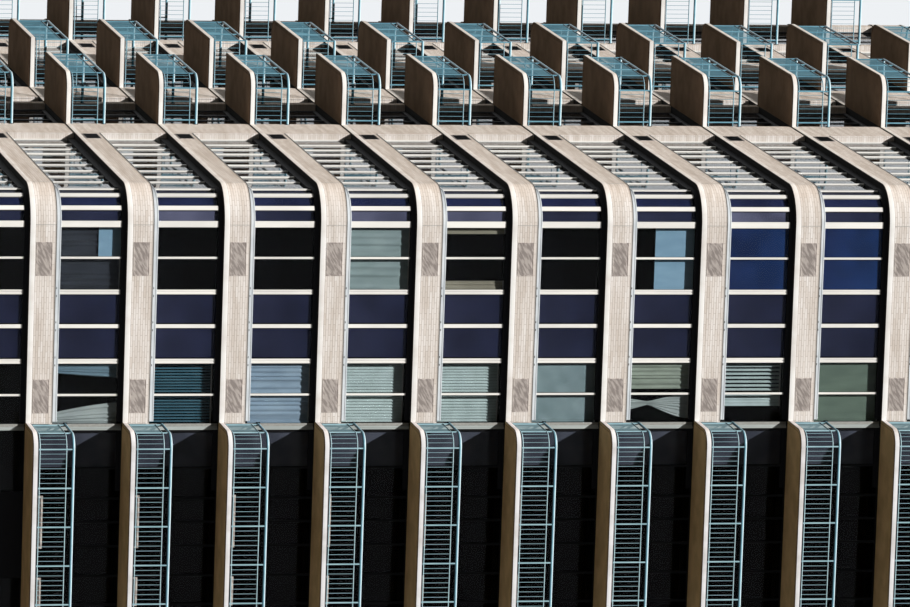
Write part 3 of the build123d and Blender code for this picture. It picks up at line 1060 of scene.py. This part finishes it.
def makeRailings(side):
    endDepth = jambDepth if side == "front" else brickDepth
    handrail, bars, posts, brackets = Shape(), Shape(), Shape(), Shape()
    tall = rodTop - rodBottom
    oval = [(handrailWidth / 2 * x, tall / 2 * z) for x, z in circle(0, 0, 1, 12)]
    w, h = railing["railWidth"] / 2, railing["railHeight"] / 2
    bar = boxOutline(-w, w, -h, h, railing["railChamfer"])
    p, q = postSize * railing["postShare"] / 2, railing["plate"] / 2
    for stack, (start, end) in enumerate(stackRuns[side]):
        line = balconyLine(side, stack, railInset, endDepth)
        balusters = [circle(x, y, railing["baluster"] / 2) for x, y in alongLine(line, railing["spacing"])]
        places = postPlaces(side, stack) + returnPosts(side, stack, endDepth)
        for level, floor, ceiling in storeys(1):
            middle = floor + (rodTop + rodBottom) / 2
            sweep(handrail, line, [(o, middle + z) for o, z in oval])
            low, high = floor + railing["lower"], floor + railing["upper"]
            for z in (high, low):
                sweep(bars, line, [(o, z + lift) for o, lift in bar])
            for ring in balusters:
                bars.rings([[(*point, z) for point in ring] for z in (low, high)])
            for at, depth in places:
                post(posts, side, (at - p, at + p), (depth - p, depth + p),
                     (floor, floor + rodBottom + tall * railing["postTop"]), railing["postChamfer"])
                post(posts, side, (at - q, at + q), (depth - q, depth + q),
                     (floor, floor + railing["plateHeight"]), railing["plateChamfer"])
            wide, high = railing["bracketWidth"] / 2, railing["bracketHeight"] / 2
            for at in (start + railInset, end - railInset):
                depth = (endDepth - railing["bracketThick"], endDepth + touch)
                post(brackets, side, (at - wide, at + wide), depth, (middle - high, middle + high),
                     railing["postChamfer"])
    makePiece(side + "_handrail_tube", handrail, tealEnamel, (side + "_handrails",))
    makePiece(side + "_balusters", bars, barEnamel[side])
    makePiece(side + "_rail_posts", posts, barEnamel[side], (side + "_railing_posts",))
    makePiece(side + "_rail_brackets", brackets, shadeBlackCoat)


for side in ("front", "left"):
    makeRailings(side)
print("railings made")


# Balcony doors: sliding frames and the low heater boxes beside them

balconyDoors = {
    "front": [6.86, 7.90, 8.76, 9.42, 10.10, 10.94, 11.75, 12.63],     # middles of the uprights
    "leftSpacing": 0.95,
    "railed": {"front": doorRuns["front"][:1], "left": doorRuns["left"]},   # with rails at foot and head
    "halfWidth": 0.03, "chamfer": 0.005,
    "edge": 0.035,                  # from the run's end to the first upright's middle
    "uprightDepth": {"front": (0.19, 0.285), "left": (0.205, 0.24)},
    "railDepth": {"front": (0.185, 0.28), "left": (0.2, 0.245)},
    "foot": 0.09, "head": {"front": 0.12, "left": 0.1},
    "sidePanel": (6.88, 7.87), "panelDepth": (0.266, 0.28), "panelGap": 0.02,
}
heaters = {
    "places": [(8.66, 10.14), (10.97, 11.78)],
    "height": 0.40, "depth": (0.145, 0.20), "rim": 0.05, "chamfer": 0.004,
    "blade": (0.15, 0.19), "bladeThick": 0.004, "pitch": 0.026,
    "bladeGaps": (0.01, 0.02),      # from the rim to the lowest and to the highest
}


def doorUprights(side, start, end):
    if side == "front":
        return balconyDoors["front"]
    count = round((end - start) / balconyDoors["leftSpacing"])
    edge = balconyDoors["edge"]
    return [start + edge + (end - start - 2 * edge) * i / count for i in range(count + 1)]


def makeDoorFrames(side, material):
    shape = Shape()
    half, chamfer = balconyDoors["halfWidth"], balconyDoors["chamfer"]
    for level, bottom, top in storeys(1):
        for start, end in balconyDoors["railed"][side]:
            for at in doorUprights(side, start, end):
                post(shape, side, (at - half, at + half), balconyDoors["uprightDepth"][side], (bottom, top),
                     chamfer)
            for height in ((bottom, bottom + balconyDoors["foot"]), (top - balconyDoors["head"][side], top)):
                beam(shape, side, (start, end), balconyDoors["railDepth"][side], height, chamfer)
    makePiece(side + "_door_frames", shape, material)


def makeDoorSidePanels():
    shape = Shape()
    gap = balconyDoors["panelGap"]
    for level, floor, ceiling in storeys(1):
        height = (floor + gap, ceiling - gap)
        post(shape, "front", balconyDoors["sidePanel"], balconyDoors["panelDepth"], height)
    makePiece("front_door_side_panels", shape, sidePanel)


def makeHeaters():
    shape = Shape()
    under, over = heaters["bladeGaps"]
    for level, floor, ceiling in storeys(1):
        for along in heaters["places"]:
            clear, (low, high) = rim(
                shape, "front", along, heaters["depth"], (floor, floor + heaters["height"]),
                heaters["rim"], heaters["chamfer"])
            blades(shape, "front", clear, heaters["blade"], (low + under, high - over), heaters["pitch"],
                   heaters["bladeThick"])
    makePiece("front_heater_grilles", shape, louvreCoat)


makeDoorFrames("front", shadeBlackCoat)
makeDoorSidePanels()
makeDoorFrames("left", bronzeCoat)
makeHeaters()
print("balcony doors made")


# Behind the glass: back-painted panels with painted reflections, a lining of painted shade for the unlit
# rooms, blinds and curtains

panels = {
    "depth": (0.265, 0.28), "cornerDepth": (0.268, 0.282),
    "foot": 0.1,                                # over the sill
    "navyGap": 0.03, "blueLap": 0.01,           # beside the uprights
    "navyPanes": (2, 3, 9, 10),
    # painted reflection: blue panes and grey corner panes, by storey, mirror the sky
    "bluePanes": {8: (0, 1), 9: (0, 1), 3: (11, 12), 12: (11, 12)},     # by storey
    "greyStoreys": (2, 4, 5, 8),
}
rooms = {"depth": 1.1, "gap": 0.005, "thick": 0.02}


def paneEdges(side, first):
    # clear opening between an upright and the next one
    (at, kind), (after, nextKind) = uprights[side][first], uprights[side][first + 1]
    return at + windowFrames["widths"][kind] / 2, after - windowFrames["widths"][nextKind] / 2


def makePanels():
    navy, grey, blue, deep = Shape(), Shape(), Shape(), Shape()
    panes = windowFrames["cornerPanes"]
    outer, inner = panels["cornerDepth"]
    for level, floor, top in storeys():
        bottom = floor + brickHeight + panels["foot"]
        for first in panels["navyPanes"]:
            start, end = paneEdges("front", first)
            post(navy, "front", (start, end - panels["navyGap"]), panels["depth"], (bottom, top))
        for first in panels["bluePanes"].get(level, ()):
            start, end = paneEdges("front", first)
            along = (start - panels["blueLap"], end + panels["blueLap"])
            post(blue, "front", along, panels["depth"], (bottom, top))
        for side in cornerOrder:
            for i in range(panes):
                # painted reflection: from the front the corner panes are navy, deep blue, then grey or navy
                nearFront = i if side == "front" else panes - 1 - i
                last = grey if level in panels["greyStoreys"] else navy
                target = (navy, deep, last)[nearFront]
                span = (90 * i / panes, 90 * (i + 1) / panes)
                plan = cornerArc(side, outer, 1, *span) + cornerArc(side, inner, 1, *span)[::-1]
                target.rings([[(x, y, z) for x, y in plan] for z in (bottom, top)])
    makePiece("navy_window_panels", navy, navyPanel)
    makePiece("grey_corner_panels", grey, greyPanel)
    makePiece("blue_window_panels", blue, skyReflectionPanel)
    makePiece("deep_blue_corner_panels", deep, cornerBluePanel)


def makeRooms():
    # painted shade: a dark band inside the walls, where the rooms are unlit
    shape = Shape()
    near, far = rooms["depth"], wallLength["front"] - rooms["depth"]
    path = [onWall("front", near, near), onWall("front", far, near),
            onWall("back", far, near), onWall("back", near, near)]
    for level, floor, ceiling in storeys(1):
        band(shape, path, (floor + rooms["gap"], ceiling - rooms["gap"]), -rooms["thick"], loop=True)
    makePiece("unlit_room_lining", shape, roomShade)


makePanels()
makeRooms()
print("panels and rooms made")


blinds = {
    "vane": 0.085, "vaneSpacing": 0.078, "vaneThick": 0.0024, "vaneDepth": 0.5,
    "slatPitch": 0.03, "slatDepth": 0.42, "slatReach": 0.007, "slatRise": 0.023, "slatThick": 0.001,
    "sillGap": 0.03, "lastSlat": 0.02,
    "lap": 0.02,                    # how far what hangs in front reaches past its pane
    "below": {"vanes": 0.17, "slats": 0.09, "curtain": 0.13, "roller": 0.05},   # head rail under the ceiling
    "railDepth": 0.04, "railHeight": 0.035, "railChamfer": 0.004,
}
vaneTones = {  # extruded vinyl: smooth, faintly shiny, even
    "sage": plainFinish("sageVinylVane", "#e0ede6", "#cfdcd5", 0.55, 0.4),
    "teal": plainFinish("tealVinylVane", "#5f8c9a", "#507b89", 0.55, 0.4),
    "white": plainFinish("whiteVinylVane", "#c6c9c6", "#b5b9b7", 0.55, 0.4),
    "lilac": plainFinish("lilacGreyVinylVane", "#7d7a88", "#6d6a78", 0.55, 0.4),
}
# thin roll-formed aluminium: crisp level lines
slatTone = plainFinish("paleEnamelledSlat", "#bdd0cf", "#aabfbe", 0.4, 0.4)
curtainTones = {
    "sage": clothMaterial("sageCottonCurtain", "#b0bfba", "#9dada8"),
    "blueGrey": clothMaterial("blueGreyCottonCurtain", "#b0c3d1", "#9cb0bf"),
    "beige": clothMaterial("beigeLinenCurtain", "#b3a992", "#9f957f"),
    "green": clothMaterial("greenRollerCloth", "#7b8a78", "#6f7e6d"),
    "aqua": clothMaterial("aquaRollerCloth", "#a6c9dd", "#9abed3"),
    "slate": clothMaterial("slateCottonCurtain", "#7f98a3", "#6e8792"),
    "ivory": clothMaterial("ivoryCottonCurtain", "#c6cbc4", "#b3b9b3"),
    "cream": clothMaterial("creamGreenCottonCurtain", "#aeb5a2", "#979e8c"),
    "charcoal": clothMaterial("charcoalCottonCurtain", "#383c44", "#2a2d34"),
}
vaneShapes = {tone: Shape() for tone in vaneTones}
slatShape, railShape = Shape(), Shape()
curtainCount = 0


def headRail(side, level, start, end, depth, kind):
    # makes the rail and gives the height that hangs free under it
    top = slabBottoms[level + 1] - blinds["below"][kind]
    half = blinds["railDepth"] / 2
    height = (top, top + blinds["railHeight"])
    beam(railShape, side, (start, end), (depth - half, depth + half), height, blinds["railChamfer"])
    return slabTops[level] + brickHeight + blinds["sillGap"], top


def hangVanes(side, level, start, end, tone, turn, spacing=blinds["vaneSpacing"]):
    depth = blinds["vaneDepth"]
    low, top = headRail(side, level, start, end, depth, "vanes")
    count = max(1, int((end - start) / spacing))
    angle = math.radians(turn)
    for i in range(count):
        at = start + (end - start) * (i + 0.5) / count
        dx, dy = math.cos(angle) * blinds["vane"] / 2, math.sin(angle) * blinds["vane"] / 2
        nx, ny = -math.sin(angle) * blinds["vaneThick"] / 2, math.cos(angle) * blinds["vaneThick"] / 2
        outline = [(at - dx - nx, depth - dy - ny), (at + dx - nx, depth + dy - ny),
                   (at + dx + nx, depth + dy + ny), (at - dx + nx, depth - dy + ny)]
        upright(vaneShapes[tone], side, outline, low, top)


def hangSlats(side, level, start, end):
    low, top = headRail(side, level, start, end, blinds["slatDepth"], "slats")
    depth = (blinds["slatDepth"] - blinds["slatReach"], blinds["slatDepth"] + blinds["slatReach"])
    blades(slatShape, side, (start, end), depth, (low, top - blinds["lastSlat"]), blinds["slatPitch"],
           blinds["slatThick"], blinds["slatRise"])


def hangCloth(side, level, start, end, tone, folds=0.0, drop=1.0, tie=None, depth=0.40, pitch=0.12):
    # one curtain or roller cloth: a waved sheet from the head rail down;
    # tie = (height share, width share, side to draw to) gathers it at a band
    global curtainCount
    curtainCount += 1
    chance = random.Random(1000 + curtainCount)
    sill, top = headRail(side, level, start, end, depth, "curtain" if folds else "roller")
    drop = (top - sill) * drop
    width = end - start
    waves = max(1, round(width / pitch)) if folds else 0
    columns, rows = (max(waves, 3) * 12 if folds else 2), (14 if folds else 6)
    turns = [chance.uniform(0, 1) for _ in range(4)]
    lean = chance.uniform(-0.4, 0.4)
    points, faces = [], []
    for row in range(rows + 1):
        share = row / rows
        for column in range(columns + 1):
            t = column / columns
            # folds of uneven width and depth
            along = waves * t + 0.22 * math.sin(2 * math.pi * (1.3 * t + turns[0])) \
                + 0.12 * math.sin(2 * math.pi * (3.1 * t + turns[1])) + lean * share * 0.3
            swell = 0.8 + 0.3 * math.sin(2 * math.pi * (1.7 * t + turns[2] + 0.2 * share))
            wave = folds * swell * math.sin(2 * math.pi * along) * (0.65 + 0.35 * share)
            if tie:
                height, narrow, towards = tie
                near = share / height if share <= height else 1 - 0.35 * (share - height) / (1 - height)
                t = towards + (t - towards) * (1 - (1 - narrow) * near ** 1.4)
            points.append((*onWall(side, start + width * t, depth + wave), top - drop * share))
    for row in range(rows):
        for column in range(columns):
            a = row * (columns + 1) + column
            faces.append((a, a + 1, a + columns + 2, a + columns + 1))
    name = "%s_cloth_%02d_%02d" % (side, level, curtainCount)
    mesh = bpy.data.meshes.new(name)
    mesh.from_pydata(points, [], faces)
    mesh.materials.append(curtainTones[tone])
    mesh.shade_smooth()
    piece = linkObject(name, mesh)
    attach(piece, "root")


pairOne = (0, 1)      # panes beside the round corner
pairThree = (4, 5)    # panes beside the balcony


def dressFront(mirrored):
    # what shows in the panes of each storey; the mirrored half has it four storeys higher
    def hang(kind, level, *rest, **how):
        kind("front", (level + 3) % 12 + 1 if mirrored else level, *rest, **how)

    def pane(first):
        start, end = paneEdges("front", first)
        if mirrored:
            start, end = wallLength["front"] - end, wallLength["front"] - start
        return start - blinds["lap"], end + blinds["lap"]

    for first in pairThree:
        a, b = pane(first)
        hang(hangCloth, 9, a, b, "green", drop=0.97)
        hang(hangVanes, 5, a, b, "sage", -42)
        hang(hangVanes, 4, a, b, "sage", -36)
        hang(hangSlats, 6, a, b)
        hang(hangCloth, 3, a, b, "blueGrey", folds=0.03, drop=0.95, pitch=0.15)
        hang(hangVanes, 2, a, b, "teal", -68)
    a, b = pane(4)
    hang(hangVanes, 8, a, b, "sage", -55, spacing=0.1)
    hang(hangCloth, 8, a, b, "charcoal", drop=0.98, depth=0.62)
    hang(hangCloth, 7, a + 0.02, b - 0.1, "cream", folds=0.03, drop=0.94, pitch=0.14)
    hang(hangCloth, 1, a, a + 0.44, "slate", folds=0.03, drop=0.97, tie=(1.0, 0.6, 0.35), pitch=0.14)
    a, b = pane(5)
    hang(hangVanes, 8, a + 0.05, a + 0.4, "sage", -30)
    hang(hangCloth, 7, a + 0.03, b - 0.1, "ivory", folds=0.02, tie=(0.62, 0.12, 0.35), pitch=0.1)
    hang(hangCloth, 1, b - 0.58, b, "ivory", folds=0.03, drop=0.99, tie=(1.0, 0.5, 1.0), pitch=0.13)
    for first in pairOne:
        a, b = pane(first)
        hang(hangCloth, 7, a, b, "aqua", drop=0.62)
        hang(hangCloth, 4, a + 0.04, b, "sage", folds=0.018, drop=0.97, pitch=0.26)
        hang(hangCloth, 1, a, b, "charcoal", folds=0.025, drop=0.98, depth=0.46, pitch=0.2)
    a, b = pane(0)
    hang(hangCloth, 5, a + 0.02, a + 0.22, "beige", folds=0.03)
    hang(hangCloth, 1, a, b, "aqua", drop=0.36)
    a, b = pane(1)
    hang(hangCloth, 5, b - 0.24, b, "beige", folds=0.03)
    # the storeys above the photograph's top edge
    hang(hangVanes, 10, *pane(4), "white", 30)
    hang(hangVanes, 10, *pane(5), "white", 30)
    hang(hangCloth, 11, *pane(0), "ivory", drop=0.5)
    hang(hangVanes, 12, *pane(4), "sage", 50)
    hang(hangVanes, 12, *pane(5), "sage", 50)


def sidePanes(side):
    # the ordinary panes of a wall, storey by storey
    for level in range(1, storeyCount):
        for first in range(len(uprights[side]) - 1):
            start, end = paneEdges(side, first)
            if 0.4 < end - start < 1.3:
                yield level, start, end


def dressOthers():
    chance = random.Random(57)
    for level, start, end in sidePanes("left"):
        pick = chance.random()
        tone = "lilac" if pick < 0.42 else "white" if pick < 0.48 else "teal" if pick < 0.62 else None
        if tone:
            hangVanes("left", level, start + 0.02, end - 0.02, tone, chance.uniform(4, 25))
    for side in ("right", "back"):
        for level, start, end in sidePanes(side):
            pick = chance.random()
            if pick < 0.30:
                tone = chance.choice(["sage", "white", "white"])
                hangVanes(side, level, start + 0.03, end - 0.03, tone, chance.uniform(15, 60))
            elif pick < 0.42:
                hangSlats(side, level, start + 0.03, end - 0.03)


dressFront(False)
dressFront(True)
dressOthers()
for tone, shape in vaneShapes.items():
    makePiece("vertical_blinds_" + tone, shape, vaneTones[tone], smoothAngle=0)
makePiece("level_blinds", slatShape, slatTone, smoothAngle=0)
makePiece("blind_head_rails", railShape, creamCoat)
print("blinds and curtains made:", curtainCount)


# Sealed joints in the brick where the round corners begin

def makeJoints():
    shape = Shape()
    half = 0.006
    for side in cornerOrder:
        for at in (cornerRadius, wallLength[side] - cornerRadius):
            for level, floor, ceiling in storeys():
                post(shape, side, (at - half, at + half), (brickDepth - 2 * touch, brickDepth + 4 * touch),
                     (floor, floor + brickHeight - touch))
    makePiece("corner_sealant_joints", shape, sealant)


makeJoints()
print("joints made")


# Studio: camera, sun, world and floor

photoCamera = {
    "position": (-42.827, -228.593, -26.901),
    "yaw": 9.775, "pitch": 11.341,      # degrees right of +Y, and up
    "focalPixels": 7860.0, "longSide": 910.0, "sensor": 36.0,
    "clip": (1.0, 3000.0),
}
lamps = {
    "sun": {"way": (0.5, 1.0, -0.875), "strength": 6.0, "size": 1.0, "colour": "#fffdf8"},
    # lights the walls that the picture doesn't show
    "back_fill": {"way": (-0.6, -1.0, -0.5), "strength": 1.9, "size": 25.0, "colour": "#f6f1e8"},
}
studio = {
    "skyLight": "#d3dff0", "skyStrength": 0.11, "backdrop": "#eef1f4",
    "floor": "#b8babd",
    "floorBounce": "#4a4439",           # what the floor sends back up is as dark as a street's
    "floorSize": 400.0, "floorLevel": -0.002,
}


def makeCamera():
    camera = linkObject("photo_camera", bpy.data.cameras.new("photo_camera"))
    yaw, pitch = math.radians(photoCamera["yaw"]), math.radians(photoCamera["pitch"])
    forward = Vector((math.sin(yaw) * math.cos(pitch), math.cos(yaw) * math.cos(pitch), math.sin(pitch)))
    right = Vector((math.cos(yaw), -math.sin(yaw), 0))
    up = right.cross(forward)
    # the photograph lies on its side: its right is the building's up
    turn = Matrix((up, -right, -forward)).transposed().to_4x4()
    camera.matrix_world = Matrix.Translation(photoCamera["position"]) @ turn
    camera.data.sensor_width = photoCamera["sensor"]
    camera.data.lens = photoCamera["focalPixels"] / photoCamera["longSide"] * photoCamera["sensor"]
    camera.data.clip_start, camera.data.clip_end = photoCamera["clip"]
    bpy.context.scene.camera = camera


def makeLights():
    for name, given in lamps.items():
        lamp = bpy.data.lights.new(name, "SUN")
        lamp.energy = given["strength"]
        lamp.angle = math.radians(given["size"])
        lamp.color = colour(given["colour"])[:3]
        sun = linkObject(name, lamp)
        sun.rotation_mode = "QUATERNION"
        sun.rotation_quaternion = Vector(given["way"]).to_track_quat("-Z", "Y")


def seenRays(tree):
    # rays that show a thing, straight or in glass, but don't light anything with it
    rays = addNode(tree, "LightPath").outputs
    seen = addNode(tree, "Math", {0: rays["Is Camera Ray"], 1: rays["Is Glossy Ray"]}, operation="MAXIMUM")
    return addNode(tree, "Math", {0: seen, 1: rays["Is Transmission Ray"]}, operation="MAXIMUM")


def makeWorld():
    world = bpy.data.worlds.new("studio_world")
    bpy.context.scene.world = world
    world.use_nodes = True
    tree = world.node_tree
    light = tree.nodes["Background"]
    feed(tree, light, {"Color": studio["skyLight"], "Strength": studio["skyStrength"]})
    seen = addNode(tree, "Background", {"Color": studio["backdrop"], "Strength": 1.0})
    mix = addNode(tree, "MixShader", {0: seenRays(tree), 1: light, 2: seen})
    feed(tree, tree.nodes["World Output"], {"Surface": mix})


def makeFloor():
    # pale where it is seen, dark where it bounces light, and clear from below, where the camera is
    half, level = studio["floorSize"], studio["floorLevel"]
    mesh = bpy.data.meshes.new("studio_floor")
    corners = [(-half, -half, level), (half, -half, level), (half, half, level), (-half, half, level)]
    mesh.from_pydata(corners, [], [(0, 1, 2, 3)])
    floor = linkObject("studio_floor", mesh)
    material, tree, shader = newMaterial("paleStudioFloor", {"Roughness": 0.9, "Base Color": studio["floor"]})
    bounce = addNode(tree, "BsdfDiffuse", {"Color": studio["floorBounce"]})
    above = addNode(tree, "MixShader", {0: seenRays(tree), 1: bounce, 2: shader})
    under = addNode(tree, "NewGeometry").outputs["Backfacing"]
    mix = addNode(tree, "MixShader", {0: under, 1: above, 2: addNode(tree, "BsdfTransparent")})
    feed(tree, tree.nodes["Material Output"], {"Surface": mix})
    mesh.materials.append(material)


makeCamera()
makeLights()
makeWorld()
makeFloor()
bpy.context.scene.view_settings.view_transform = "Standard"
print("studio made")
